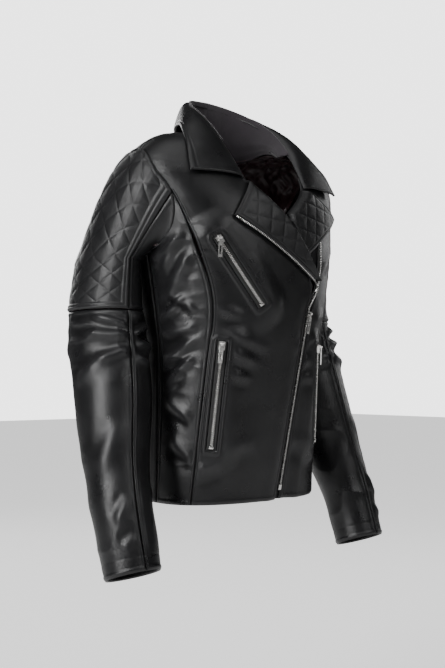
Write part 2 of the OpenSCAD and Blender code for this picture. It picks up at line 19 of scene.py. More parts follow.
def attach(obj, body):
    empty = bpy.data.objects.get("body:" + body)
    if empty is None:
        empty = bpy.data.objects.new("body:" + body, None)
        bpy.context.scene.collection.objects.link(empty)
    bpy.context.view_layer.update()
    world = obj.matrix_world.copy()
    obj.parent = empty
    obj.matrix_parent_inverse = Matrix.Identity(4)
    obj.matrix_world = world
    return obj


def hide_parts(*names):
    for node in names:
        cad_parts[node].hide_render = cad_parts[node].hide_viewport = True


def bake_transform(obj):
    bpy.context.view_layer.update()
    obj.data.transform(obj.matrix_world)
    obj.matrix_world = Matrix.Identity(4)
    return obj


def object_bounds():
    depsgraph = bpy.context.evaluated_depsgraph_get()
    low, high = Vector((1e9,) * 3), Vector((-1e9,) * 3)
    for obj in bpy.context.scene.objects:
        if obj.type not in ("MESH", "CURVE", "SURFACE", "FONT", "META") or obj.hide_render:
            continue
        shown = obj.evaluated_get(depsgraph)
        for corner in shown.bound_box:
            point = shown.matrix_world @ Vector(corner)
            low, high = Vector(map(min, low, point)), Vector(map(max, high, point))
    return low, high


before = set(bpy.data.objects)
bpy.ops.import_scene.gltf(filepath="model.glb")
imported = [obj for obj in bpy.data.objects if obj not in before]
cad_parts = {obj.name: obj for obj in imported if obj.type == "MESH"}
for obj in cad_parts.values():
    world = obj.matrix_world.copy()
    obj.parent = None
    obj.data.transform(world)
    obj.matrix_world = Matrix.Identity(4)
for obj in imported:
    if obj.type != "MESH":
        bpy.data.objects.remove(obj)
cad_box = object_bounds()

# %% [markdown]
# ## The body's shape
#
# The panels lie on one shape: rounded cross-sections from the hem to the yoke, and a cap over the
# shoulders. Heights are above the hem, in metres. The frame's origin is the hanger loop at the nape,
# so the last step of each shape moves it there.

# %% Heights and cross-sections
BODY = 0.535
LOOP = np.array([0.0, 0.054, BODY + 0.006])
WAIST, SLIDER, BEND, BUST = 0.383 * BODY, 0.5065 * BODY, 0.587 * BODY, 0.682 * BODY
V_LOW, ARMHOLE, NOTCH, YOKE = 0.766 * BODY, 0.806 * BODY, 0.869 * BODY, 0.897 * BODY
ARM_HALF, ARM_SWEEP, CAP_RUN = 0.069, 27.0, 0.12
ARM_LOW, ARM_TOP = ARMHOLE - ARM_HALF, ARMHOLE + ARM_HALF
PRINCESS_TOP = ARMHOLE + 0.009
STATIONS = [0, WAIST, SLIDER, BUST, ARMHOLE, YOKE]
HALF_WIDTHS = [0.138, 0.134, 0.141, 0.158, 0.171, 0.190]
FRONTS = [0.088, 0.1144, 0.124, 0.128, 0.118, 0.094]
BACKS = [0.114, 0.092, 0.098, 0.114, 0.116, 0.102]
SQUARENESS = 0.8
SHOULDER = 3.3


def smooth_at(z, zs, vs):
    """Value at each z of a smooth curve through the stations."""
    z, zs, vs = np.asarray(z, float), np.asarray(zs, float), np.asarray(vs, float)
    i = np.clip(np.searchsorted(zs, z, side="right") - 1, 0, len(zs) - 2)
    h = np.diff(zs)
    slopes = np.empty_like(vs)
    slopes[0] = (vs[1] - vs[0]) / h[0]
    slopes[-1] = (vs[-1] - vs[-2]) / h[-1]
    reach = (zs[2:] - zs[:-2]).reshape((-1,) + (1,) * (vs.ndim - 1))
    slopes[1:-1] = (vs[2:] - vs[:-2]) / reach
    run = h[i]
    t = (z - zs[i]) / run
    if vs.ndim > 1:
        run, t = run[..., None], t[..., None]
    return ((2 * t**3 - 3 * t**2 + 1) * vs[i] + (t**3 - 2 * t**2 + t) * run * slopes[i]
            + (-2 * t**3 + 3 * t**2) * vs[i + 1] + (t**3 - t**2) * run * slopes[i + 1])


def mix(a, b, t):
    return a + (b - a) * t


def ease(t):
    t = np.clip(t, 0, 1)
    return t * t * (3 - 2 * t)


def rounded(v):
    return np.sign(v) * np.abs(v) ** SQUARENESS


def ring_point(a, z, inset):
    """Point at angle a of the cross-section at height z: 0 is the front, 90 the wearer's left."""
    s, c = np.sin(np.radians(a)), np.cos(np.radians(a))
    depth = np.where(c > 0, smooth_at(z, STATIONS, FRONTS), smooth_at(z, STATIONS, BACKS)) - inset
    x = (smooth_at(z, STATIONS, HALF_WIDTHS) - inset) * rounded(s)
    return np.stack([x, -depth * rounded(c), z + 0 * a], -1)


def sharp_skin(a, s, inset):
    """The surface before its bend at the yoke is softened."""
    low = ring_point(a, np.minimum(s, YOKE), inset)
    t = np.clip((s - YOKE) / CAP_RUN, 0, 1)
    sa, ca = np.sin(np.radians(a)), np.cos(np.radians(a))
    top_x, top_y = 0.070 * sa, np.where(ca > 0, -0.050, -0.064) * ca
    top_z = BODY + 0.006 - np.where(ca > 0, 0.021, 0.006) * ca**2
    x, y = mix(low[..., 0], top_x, t), mix(low[..., 1], top_y, t)
    z = low[..., 2] + (top_z - YOKE) * (1 - (1 - t) ** SHOULDER) - inset * np.sqrt(t)
    return np.stack([x, y, z], -1)


def skin_at(a, s, inset=0.0):
    """The whole outer surface; s is the height to the yoke, and then runs over the rounded shoulder."""
    a, s = np.broadcast_arrays(np.asarray(a, float), np.asarray(s, float))
    soft = 0.020 * np.exp(-((s - YOKE) / 0.028) ** 2)
    return sum(w * sharp_skin(a, s + k * soft, inset)
               for k, w in ((-1, 0.15), (-0.5, 0.22), (0, 0.26), (0.5, 0.22), (1, 0.15)))


def angle_at(x, z):
    share = np.minimum(1, np.abs(x) / smooth_at(z, STATIONS, HALF_WIDTHS))
    return np.degrees(np.arcsin(np.sign(x) * share ** (1 / SQUARENESS)))


def at_x(x, z, inset=0.0):
    return skin_at(angle_at(x, z), z, inset)


def unit(v):
    return v / np.linalg.norm(v, axis=-1, keepdims=True)


def outward(x, z):
    return unit(at_x(x, z, -0.001) - at_x(x, z, 0.0))


# %% Seam lines on the body
CHANNEL = 0.0050


def arm_offset(s):
    return ARM_SWEEP * np.sqrt(np.maximum(0, 1 - ((s - ARMHOLE) / ARM_HALF) ** 2))


def shell_offset(s):
    """As arm_offset, but reaching a little under the sleeve, so that the armhole seam is closed."""
    return (ARM_SWEEP - 1.6) * np.sqrt(np.maximum(0, 1 - ((s - ARMHOLE) / (ARM_HALF - 0.004)) ** 2))


PRINCESS_ARM = float(90 - arm_offset(PRINCESS_TOP))


def princess(s):
    return smooth_at(s, [0, WAIST, 0.54 * BODY, 0.7 * BODY, PRINCESS_TOP], [56, 50, 46, 55, PRINCESS_ARM])


def front_outer(s):
    return np.where(s < PRINCESS_TOP, princess(np.minimum(s, PRINCESS_TOP)), 90 - shell_offset(s))


def zip_x(z):
    lower = mix(0.024, 0.053, (z - 0.023) / (SLIDER - 0.023))
    return np.where(z < SLIDER, lower, mix(0.053, 0.065, (z - SLIDER) / (BEND - SLIDER)))


def roll_x(z):
    return smooth_at(z, [BEND, V_LOW, NOTCH, BODY - 0.009], [0.065, 0, -0.056, -0.062])


def over_yoke(angle, s):
    return mix(angle, 62.0, (s - YOKE) / CAP_RUN)


def bent_channel(s):
    return CHANNEL * (V_LOW - np.minimum(s, V_LOW)) / (V_LOW - BEND)


NECK_ANGLE = float(angle_at(-roll_x(YOKE), YOKE))


def right_edge(s):
    below = np.where(s < BEND, zip_x(s) - CHANNEL, roll_x(np.maximum(s, BEND)) - bent_channel(s))
    return np.where(s > YOKE, -over_yoke(NECK_ANGLE, s), angle_at(below, np.minimum(s, YOKE)))


def left_edge(s):
    roll = roll_x(np.maximum(s, BEND))
    below = np.where(s < BEND, zip_x(s) + CHANNEL, np.maximum(roll + bent_channel(s) + 0.0015, -roll))
    return np.where(s > YOKE, over_yoke(NECK_ANGLE, s), angle_at(below, np.minimum(s, YOKE)))


def back_limit(s):
    return 90 + shell_offset(s)


# %% [markdown]
# ## Sleeves
#
# A sleeve starts at the armhole, swings back to the elbow and forward again to the cuff, as an arm at
# rest does. Each station gives the sleeve's middle and its half sizes.

# %% Sleeve shape
ELBOW = 0.514 * BODY
BICEP = ELBOW + 0.071
FOREARM = 0.357
CUFF = ELBOW - FOREARM
SLEEVE_Z = [CUFF, CUFF + 0.216 * FOREARM, CUFF + 0.405 * FOREARM, CUFF + 0.663 * FOREARM, ELBOW, BICEP]
SLEEVE_SIZES = [[0.220, -0.064, 0.038, 0.038], [0.219, -0.037, 0.041, 0.041], [0.212, -0.010, 0.045, 0.047],
                [0.199, 0.020, 0.054, 0.058], [0.190, 0.055, 0.049, 0.065], [0.190, 0.053, 0.038, 0.066]]
FRONT_SEAM, BACK_SEAM = -86.0, 90.0


def sleeve_ring(p, z, inset=0.0):
    p, z = np.broadcast_arrays(np.asarray(p, float), np.asarray(z, float))
    size = smooth_at(z, SLEEVE_Z, SLEEVE_SIZES)
    tilt = np.radians(20) * np.maximum(0, ELBOW - z) / FOREARM
    c, s = np.cos(np.radians(p)), np.sin(np.radians(p))
    across, deep = size[..., 2] - inset, size[..., 3] - inset
    return np.stack([size[..., 0] + across * c, size[..., 1] + deep * s * np.cos(tilt),
                     z - deep * s * np.sin(tilt)], -1)


def armhole_point(p, inset=0.0):
    s, c = np.sin(np.radians(p)), np.cos(np.radians(p))
    return skin_at(90 + (ARM_SWEEP - inset * 333) * s, ARMHOLE + (ARM_HALF - inset) * c, -0.0012)


def upper_point(p, k, inset=0.0):
    """k runs from 0 at the armhole to 1 at the elbow."""
    p, k = np.broadcast_arrays(np.asarray(p, float), np.asarray(k, float))
    low = sleeve_ring(p, mix(BICEP, ELBOW, np.clip((k - 0.6) / 0.4, 0, 1)), inset)
    t = np.clip(k / 0.6, 0, 1)
    head = np.maximum(0, np.cos(np.radians(p))) * np.sin(np.pi * t**0.65)
    bulge = np.stack([0.009 * head, 0 * head, 0.009 * head], -1)
    high = mix(armhole_point(p, inset), sleeve_ring(p, BICEP + 0 * k, inset), t[..., None]) + bulge
    return np.where((k > 0.6)[..., None], low, high)


# %% [markdown]
# ## Making a panel
#
# `bmesh.ops.create_grid` makes a flat sheet. Its points are read as two shares, across and up, and a
# rule says where each one goes. The sheet is then pushed in and out along its own normal for folds and
# seams, and a Solidify modifier gives the leather its thickness. The push is kept as an attribute, so
# that the material can be a little paler on ridges, as wear and painted highlight, and darker in the
# grooves, as painted shade.

# %% Noise and folds
def wander(points, size, seed):
    """Smooth noise from -1 to 1 that changes over the given size."""
    q = points / size + seed * 17.3
    base = np.floor(q)
    t = q - base
    t = t * t * (3 - 2 * t)
    total = 0
    for corner in range(8):
        step = np.array([corner & 1, corner >> 1 & 1, corner >> 2 & 1])
        cell = base + step
        value = np.sin(cell @ np.array([127.1, 311.7, 74.7]) + seed * 3.1) * 43758.5453
        weight = np.prod(np.where(step == 1, t, 1 - t), -1)
        total = total + weight * (value - np.floor(value))
    return total * 2 - 1


def ridges(points, size, seed):
    """Rounded folds between narrow creases, from 0 to 1."""
    return (1 - np.abs(wander(points, size, seed))) ** 2


def zone(value, middle, half):
    return np.exp(-((value - middle) / half) ** 2)


def fold(u, v, start, end, width, height):
    """One soft ridge along a line on the (u, v) surface, all in metres, fading at both ends."""
    (u0, v0), (u1, v1) = start, end
    du, dv = u1 - u0, v1 - v0
    length2 = du * du + dv * dv
    t = ((u - u0) * du + (v - v0) * dv) / length2
    d = ((u - u0) * dv - (v - v0) * du) / math.sqrt(length2)
    along = ease(np.clip(t / 0.3, 0, 1)) * ease(np.clip((1 - t) / 0.3, 0, 1))
    return height * along * (np.exp(-(d / width) ** 2) - 0.5 * np.exp(-((d - 1.6 * width) / width) ** 2))


# %% A sheet laid on a shape
def in_frame(points):
    return points - LOOP


def new_object(name, mesh, material, body):
    obj = bpy.data.objects.new(name, mesh)
    bpy.context.scene.collection.objects.link(obj)
    mesh.materials.append(material)
    for face in mesh.polygons:
        face.use_smooth = True
    if body:
        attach(obj, body)
    return obj


def laid_sheet(name, columns, rows, place, push, away, material, body, wall=0.002,
               mirror=False):
    """Grid with place(u, v) -> points, pushed along its normal by push(u, v, points).

    away(points) gives the outside's direction.
    """
    bm = bmesh.new()
    bmesh.ops.create_grid(bm, x_segments=columns, y_segments=rows, size=0.5)
    flat = np.array([v.co[:2] for v in bm.verts]) + 0.5
    u, v = np.clip(flat[:, 0], 0, 1), np.clip(flat[:, 1], 0, 1)
    step = 1e-3
    here = place(u, v)
    du = place(np.minimum(u + step, 1), v) - place(np.maximum(u - step, 0), v)
    dv = place(u, np.minimum(v + step, 1)) - place(u, np.maximum(v - step, 0))
    normal = np.cross(du, dv)
    normal = normal / np.maximum(np.linalg.norm(normal, axis=1, keepdims=True), 1e-12)
    sign = np.sign((normal * away(here)).sum(1).mean())
    normal = normal * sign
    lift = push(u, v, here)
    there = in_frame(here + normal * lift[:, None])
    if mirror:
        there[:, 0] *= -1
    for vert, co in zip(bm.verts, there):
        vert.co = co
    if (sign < 0) != mirror:
        bmesh.ops.reverse_faces(bm, faces=bm.faces[:])
    mesh = bpy.data.meshes.new(name)
    bm.to_mesh(mesh)
    bm.free()
    relief = mesh.attributes.new("relief", "FLOAT", "POINT")
    relief.data.foreach_set("value", (lift * 1000).astype(np.float32))
    obj = new_object(name, mesh, material, body)
    if wall:
        solid = obj.modifiers.new("wall", "SOLIDIFY")
        solid.thickness = wall
        solid.offset = -1
        solid.use_even_offset = False
    print(name, len(mesh.vertices), "points")
    return obj


def from_axis(points):
    """Outside direction on the body: away from the middle line."""
    out = points.copy()
    out[:, 2] = np.where(points[:, 2] > YOKE, (points[:, 2] - YOKE) * 4, 0)
    return out


# %% Edges and quilting
def edge_dip(u, v, wide, tall, depth=0.0012, reach=0.0018):
    """Leather turns down into its seams: a dip along all four edges of a panel."""
    near = np.minimum(np.minimum(u, 1 - u) * wide, np.minimum(v, 1 - v) * tall)
    roll = 0.0007 * np.exp(-((near - 0.0042) / 0.0022) ** 2)
    stitch = -0.0007 * np.exp(-((near - 0.0068) / 0.0006) ** 2)
    return -depth * np.exp(-(near / reach) ** 2) + roll + stitch


def diamonds(along, across, pitch, height):
    """Puffed diamonds between stitched channels."""
    a = np.abs(np.sin(np.pi * (along + across) / pitch))
    b = np.abs(np.sin(np.pi * (along - across) / pitch))
    return height * (np.minimum(a, b) ** 0.4 - 0.7)


# %% [markdown]
# ## Materials
#
# The leather is near black with a soft gloss. Its grain is a fine cell pattern in the bump, a larger
# mottling changes the roughness, and the relief attribute makes the ridges paler, as wear and painted
# highlight, and the grooves darker, as painted shade. The nickel, the satin and the suede-like collar
# lining each get their own short recipe.

# %% Node helpers
def material(name, base, roughness, metallic=0.0):
    made = bpy.data.materials.new(name)
    made.use_nodes = True
    nodes, links = made.node_tree.nodes, made.node_tree.links
    shader = nodes["Principled BSDF"]
    shader.inputs["Base Color"].default_value = (*base, 1)
    shader.inputs["Roughness"].default_value = roughness
    shader.inputs["Metallic"].default_value = metallic
    place = nodes.new("ShaderNodeTexCoord")
    return made, nodes, links, shader, place.outputs["Object"]


def noise(nodes, links, place, scale, detail=3.0):
    node = nodes.new("ShaderNodeTexNoise")
    node.inputs["Scale"].default_value = scale
    node.inputs["Detail"].default_value = detail
    links.new(place, node.inputs["Vector"])
    return node.outputs["Fac"]


def spread(nodes, links, value, low, high, out_low, out_high):
    node = nodes.new("ShaderNodeMapRange")
    for socket, number in (("From Min", low), ("From Max", high), ("To Min", out_low), ("To Max", out_high)):
        node.inputs[socket].default_value = number
    links.new(value, node.inputs["Value"])
    return node.outputs["Result"]


def bump(nodes, links, shader, height, strength, distance, under=None):
    node = nodes.new("ShaderNodeBump")
    node.inputs["Strength"].default_value = strength
    node.inputs["Distance"].default_value = distance
    links.new(height, node.inputs["Height"])
    if under:
        links.new(under, node.inputs["Normal"])
    links.new(node.outputs["Normal"], shader.inputs["Normal"])
    return node.outputs["Normal"]


def blend_colours(nodes, links, factor, first, second):
    node = nodes.new("ShaderNodeMix")
    node.data_type = "RGBA"
    node.inputs["A"].default_value = (*first, 1)
    node.inputs["B"].default_value = (*second, 1)
    links.new(factor, node.inputs["Factor"])
    return node.outputs["Result"]


# %% Leather
def leather_finish(name, base, ridge_wear_and_highlight, gloss):
    made, nodes, links, shader, place = material(name, base, gloss)
    mottle = noise(nodes, links, place, 28, 4)
    relief = nodes.new("ShaderNodeAttribute")
    relief.attribute_name = "relief"
    # Colour follows the relief: paler on raised ridges as wear and painted highlight, darker in grooves as painted
    # shade.
    ridge = spread(nodes, links, relief.outputs["Fac"], -1.5, 3.0, 0.0, 1.0)
    links.new(blend_colours(nodes, links, ridge, base, ridge_wear_and_highlight), shader.inputs["Base Color"])
    links.new(spread(nodes, links, mottle, 0.3, 0.7, gloss - 0.06, gloss + 0.1), shader.inputs["Roughness"])
    cells = nodes.new("ShaderNodeTexVoronoi")
    cells.feature = "DISTANCE_TO_EDGE"
    cells.inputs["Scale"].default_value = 900
    links.new(place, cells.inputs["Vector"])
    grain = bump(nodes, links, shader, spread(nodes, links, cells.outputs["Distance"], 0, 0.25, 0, 1), 0.22, 0.0003)
    bump(nodes, links, shader, noise(nodes, links, place, 120, 5), 0.16, 0.0012, grain)
    shader.inputs["Specular IOR Level"].default_value = 0.42
    return made


SHELL = leather_finish("black_leather", (0.005, 0.005, 0.0055), (0.014, 0.014, 0.015), 0.31)
QUILT = leather_finish("quilted_leather", (0.006, 0.006, 0.0065), (0.016, 0.016, 0.017), 0.38)


# %% Satin, suede cloth, tape and nickel
def satin_finish():
    made, nodes, links, shader, place = material("maroon_satin", (0.05, 0.010, 0.016), 0.34)
    cloudy = noise(nodes, links, place, 22, 3)
    links.new(blend_colours(nodes, links, cloudy, (0.022, 0.005, 0.008), (0.060, 0.014, 0.020)),
              shader.inputs["Base Color"])
    threads = nodes.new("ShaderNodeTexWave")
    threads.inputs["Scale"].default_value = 700
    links.new(place, threads.inputs["Vector"])
    bump(nodes, links, shader, threads.outputs["Fac"], 0.08, 0.0002)
    shader.inputs["Sheen Weight"].default_value = 0.35
    return made


def suede_finish():
    made, nodes, links, shader, place = material("plum_suede", (0.036, 0.026, 0.036), 0.9)
    nap = noise(nodes, links, place, 60, 5)
    links.new(blend_colours(nodes, links, nap, (0.012, 0.009, 0.012), (0.026, 0.019, 0.026)),
              shader.inputs["Base Color"])
    bump(nodes, links, shader, noise(nodes, links, place, 1400, 2), 0.3, 0.0004)
    shader.inputs["Sheen Weight"].default_value = 0.5
    return made


def tape_finish():
    made, nodes, links, shader, place = material("woven_tape", (0.012, 0.012, 0.012), 0.8)
    weave = nodes.new("ShaderNodeTexWave")
    weave.bands_direction = "DIAGONAL"
    weave.inputs["Scale"].default_value = 420
    links.new(place, weave.inputs["Vector"])
    links.new(blend_colours(nodes, links, weave.outputs["Fac"], (0.008, 0.008, 0.008), (0.024, 0.024, 0.024)),
              shader.inputs["Base Color"])
    bump(nodes, links, shader, weave.outputs["Fac"], 0.4, 0.0003)
    return made


def nickel_finish():
    made, nodes, links, shader, place = material("polished_nickel", (0.78, 0.77, 0.75), 0.2, 1.0)
    handling = noise(nodes, links, place, 260, 4)
    links.new(spread(nodes, links, handling, 0.3, 0.7, 0.13, 0.32), shader.inputs["Roughness"])
    links.new(blend_colours(nodes, links, handling, (0.70, 0.69, 0.67), (0.86, 0.85, 0.83)),
              shader.inputs["Base Color"])
    bump(nodes, links, shader, noise(nodes, links, place, 900, 2), 0.05, 0.0002)
    return made


SATIN, SUEDE, TAPE, NICKEL = satin_finish(), suede_finish(), tape_finish(), nickel_finish()

# %% [markdown]
# ## Zips
#
# Each zip lies on a straight line, so that its slider can run. The line's own axes are worked out once:
# up the chain, out from the leather, and across. The leather beside a zip is pressed to that line, with
# a raised welt on each side.

# %% Zip lines
CHAIN_LOW_IN, CHAIN_HIGH_IN = 0.0052, 0.0040
POCKET_LIFT = 0.0030


class ZipLine:
    def __init__(self, at, up, out, length):
        self.at, self.up, self.out, self.length = at, up, out, length
        self.across = np.cross(out, up)

    def local(self, points):
        d = points - self.at
        return d @ self.across, d @ self.out, d @ self.up

    def world(self, x, y, z):
        pairs = ((x, self.across), (y, self.out), (z, self.up))
        return self.at + sum(np.multiply.outer(share, axis) for share, axis in pairs)


def pocket_line(top, low, length, lift):
    a, b = at_x(*top), at_x(*low)
    up = unit(a - b)
    out = outward(*top) + outward(*low)
    out = unit(out - up * (out @ up))
    return ZipLine(a + out * lift, up, out, length)


RIGHT_POCKET = pocket_line((-0.094, 0.417 * BODY), (-0.099, 0.15 * BODY), 0.146, POCKET_LIFT)
LEFT_POCKET = pocket_line((0.082, 0.417 * BODY), (0.099, 0.15 * BODY), 0.146, POCKET_LIFT)
CHEST = pocket_line((-0.109, 0.69 * BODY), (-0.042, 0.518 * BODY), 0.112, POCKET_LIFT + 0.0026)
low = at_x(float(zip_x(0.023)), 0.023, CHAIN_LOW_IN)
high = at_x(float(zip_x(SLIDER)), SLIDER, CHAIN_HIGH_IN)
main_up = unit(high - low)
main_out = outward(0.053, SLIDER) + outward(0.024, 0.023)
main_out = unit(main_out - main_up * (main_out @ main_up))
MAIN = ZipLine(high, main_up, main_out, float(np.linalg.norm(high - low)))


def pressed(points, line, window=0.0068, welt=0.0125, reach=0.034, ends=0.006):
    """Moves points near a zip to its plane: a sunk window for the tape, a raised welt, then the shell."""
    x, y, z = line.local(points)
    beyond = np.maximum(np.maximum(z - ends, -line.length - z), 0)
    side = np.hypot(np.maximum(np.abs(x) - window, 0), beyond)
    hold = 1 - ease((side - (welt - window)) / reach)
    in_window = 1 - ease(side / 0.0016)
    on_welt = ease(side / 0.0016) * (1 - ease((side - (welt - window)) / 0.003))
    stitch = np.exp(-((side - 0.0046) / 0.0006) ** 2)
    target = -0.0019 * in_window + (0.0006 - 0.0007 * stitch) * on_welt - 0.0016 * (1 - in_window - on_welt)
    near = np.abs(y) < 0.05
    return points + line.out * ((target - y) * hold * near)[:, None]


def beside_main(points):
    """Leather beside the closed front zip lies just below the tops of its teeth."""
    x, y, z = MAIN.local(points)
    beyond = np.maximum(z - 0.004, 0)
    hold = (1 - ease(np.maximum(np.abs(x) - 0.008, 0) / 0.030)) * (1 - ease(beyond / 0.030)) * (np.abs(y) < 0.05)
    stitch = 0.0006 * np.exp(-((np.abs(x) - 0.0108) / 0.0006) ** 2)
    edge = 0.0009 * np.exp(-((np.abs(x) - 0.005) / 0.0012) ** 2)
    return points + MAIN.out * ((0.0016 - edge - stitch - y) * hold)[:, None]


print("main zip", round(MAIN.length, 3), "m")

# %% [markdown]
# ## Body panels
#
# Two fronts, two side panels and a back. The real creases gather under the arm and at the waist, where
# the body bends, and point at the princess seams. A few are listed one by one and the rest come from noise
# that is strong only in those places.

# %% Folds of the body
DEG = 0.0026  # metres of leather for each degree round the body


def body_push(a, s, points, u, v, wide, tall):
    """How far the body's leather stands out or in at each point."""
    side = np.abs(a)
    arc = side * DEG
    stretched = points * np.array([1.0, 1.0, 2.2])
    push = 0.0010 * wander(points, 0.07, 3) + 0.0005 * wander(points, 0.03, 5)
    underarm = zone(s, ARM_LOW - 0.01, 0.055) * zone(side, 76, 26)
    push += 0.0045 * underarm * (ridges(stretched, 0.042, 7) - 0.45)
    waist = zone(s, WAIST + 0.02, 0.055) * zone(side, 74, 24)
    push += 0.0050 * waist * (ridges(stretched * np.array([0.7, 0.7, 1.2]), 0.045, 11) - 0.45)
    hem = zone(s, 0.05, 0.04) * zone(side, 62, 22)
    push += 0.0022 * hem * (ridges(stretched, 0.05, 13) - 0.45)
    back = zone(s, WAIST + 0.03, 0.07) * zone(side, 170, 40)
    push += 0.0035 * back * (ridges(stretched * np.array([0.6, 0.6, 1.3]), 0.05, 17) - 0.45)
    for start, end, width, height in BODY_FOLDS:
        push += fold(arc, s, (start[0] * DEG, start[1]), (end[0] * DEG, end[1]), width, height)
    fade = ease(np.minimum(u, 1 - u) * wide / 0.012) * ease(s / 0.02)
    return push * fade + edge_dip(u, v, wide, tall)


# Each fold runs from one (angle, height) to another, with its width and height
BODY_FOLDS = [
    ((57, 0.235), (92, 0.190), 0.008, 0.0045), ((55, 0.252), (88, 0.236), 0.007, 0.0040),
    ((58, 0.216), (84, 0.168), 0.008, 0.0035), ((56, 0.270), (80, 0.300), 0.007, 0.0030),
    ((60, 0.385), (82, 0.330), 0.008, 0.0045), ((64, 0.372), (88, 0.345), 0.006, 0.0035),
    ((57, 0.350), (78, 0.300), 0.009, 0.0035), ((54, 0.060), (80, 0.095), 0.010, 0.0030),
    ((10, 0.196), (47, 0.226), 0.009, 0.0026), ((4, 0.216), (42, 0.250), 0.008, 0.0020),
    ((14, 0.176), (46, 0.190), 0.008, 0.0020), ((22, 0.262), (44, 0.276), 0.008, 0.0018),
    ((30, 0.060), (54, 0.048), 0.010, 0.0026), ((8, 0.090), (40, 0.074), 0.012, 0.0018),
    ((24, 0.330), (50, 0.392), 0.012, 0.0022), ((58, 0.118), (86, 0.150), 0.009, 0.0034),
    ((60, 0.320), (90, 0.280), 0.008, 0.0036), ((62, 0.300), (92, 0.252), 0.006, 0.0030),
]


def body_panel(name, from_angle, to_angle, s_top, columns, rows, wide, zips=(), mirror=False, nodes=(), main=False):
    def coordinates(u, v):
        s = v * s_top
        return mix(from_angle(s), to_angle(s), u), s

    def place(u, v):
        return skin_at(*coordinates(u, v))

    def push(u, v, points):
        a, s = coordinates(u, v)
        return body_push(a, s, points, u, v, wide, s_top)

    def placed(u, v):
        points = place(u, v)
        for line in zips:
            points = pressed(points, line)
        return beside_main(points) if main else points

    def quiet_push(u, v, points):
        lift = push(u, v, points)
        for line in zips:
            x, y, z = line.local(points)
            beyond = np.maximum(np.maximum(z - 0.006, -line.length - z), 0)
            lift = lift * ease((np.hypot(np.maximum(np.abs(x) - 0.014, 0), beyond)) / 0.012)
        return lift

    obj = laid_sheet(name, columns, rows, placed, quiet_push, from_axis, SHELL, "jacket",
                     mirror=mirror)
    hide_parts(*nodes)


# %% The five body panels
FULL = YOKE + CAP_RUN
body_panel("right_front_leather", lambda s: -front_outer(s), right_edge, FULL, 150, 300, 0.17,
                         (RIGHT_POCKET, CHEST), nodes=("right_front",), main=True)
body_panel("left_front_leather", left_edge, front_outer, FULL, 110, 300, 0.12,
                        (LEFT_POCKET,), nodes=("left_front",), main=True)


def side_outer(s):
    return np.where(s < ARM_LOW, 90, np.maximum(90 - shell_offset(s), princess(s) + 1))


body_panel("left_side_leather", princess, side_outer, PRINCESS_TOP, 70, 240, 0.10,
                       nodes=("left_side_panel",))
body_panel("right_side_leather", princess, side_outer, PRINCESS_TOP, 70, 240, 0.10,
                        mirror=True, nodes=("right_side_panel",))
body_panel("back_leather", back_limit, lambda s: 360 - back_limit(s), FULL, 200, 240, 0.42,
                  nodes=("back_panel",))

# %% [markdown]
# ## Sleeves
#
# The outer half of the upper sleeve is a diamond-quilted panel with a double-stitched border. Below its
# bottom seam the forearm is plain, with a long seam at the front, crumples at the elbow and fewer folds
# towards the cuff. The quilting is real relief, because it catches the light along the whole arm.

# %% Sleeve folds
def from_sleeve(points):
    middle = smooth_at(np.clip(points[:, 2], CUFF, BICEP), SLEEVE_Z, SLEEVE_SIZES)[:, :2]
    out = np.zeros_like(points)
    out[:, :2] = points[:, :2] - middle
    out[:, 2] = np.where(points[:, 2] > BICEP, (points[:, 2] - ARMHOLE) * 0.8, 0)
    return out


# Each fold runs from one (angle, drop below the elbow seam) to another, with its width and height
ELBOW_FOLDS = [
    ((-98, 0.030), (-22, 0.006), 0.006, 0.0050), ((-98, 0.040), (-8, 0.034), 0.007, 0.0055),
    ((-100, 0.052), (-30, 0.074), 0.007, 0.0045), ((-96, 0.020), (-50, -0.006), 0.005, 0.0035),
    ((-140, 0.020), (-92, 0.036), 0.006, 0.0050), ((-150, 0.052), (-94, 0.048), 0.007, 0.0050),
    ((-60, 0.058), (10, 0.110), 0.010, 0.0030), ((-130, 0.080), (-90, 0.066), 0.006, 0.0035),
    ((20, 0.050), (88, 0.070), 0.012, 0.0028), ((-70, 0.150), (-20, 0.230), 0.012, 0.0022),
    ((-75, 0.250), (-40, 0.290), 0.008, 0.0026), ((-78, 0.300), (-45, 0.318), 0.007, 0.0020),
]
ARC = 0.00092  # metres of leather for each degree round the sleeve
SLEEVE_WIDE = 0.165


def sleeve_creases(points, seed, p):
    z = points[:, 2]
    turn = np.where(p > 180, p - 360, p)
    placed = sum(fold(turn * ARC, ELBOW - z, (start[0] * ARC, start[1]), (end[0] * ARC, end[1]), width, height)
                 for start, end, width, height in ELBOW_FOLDS)
    squashed = points * np.array([1.0, 1.0, 2.4])
    elbow = zone(z, ELBOW - 0.03, 0.05)
    push = 0.0042 * elbow * (ridges(squashed, 0.05, seed) - 0.45)
    wrist = zone(z, CUFF + 0.10, 0.09)
    push += 0.0022 * wrist * (ridges(points * np.array([1.0, 1.0, 1.5]), 0.05, seed + 2) - 0.45)
    return push + placed + 0.0012 * wander(points, 0.06, seed + 4)


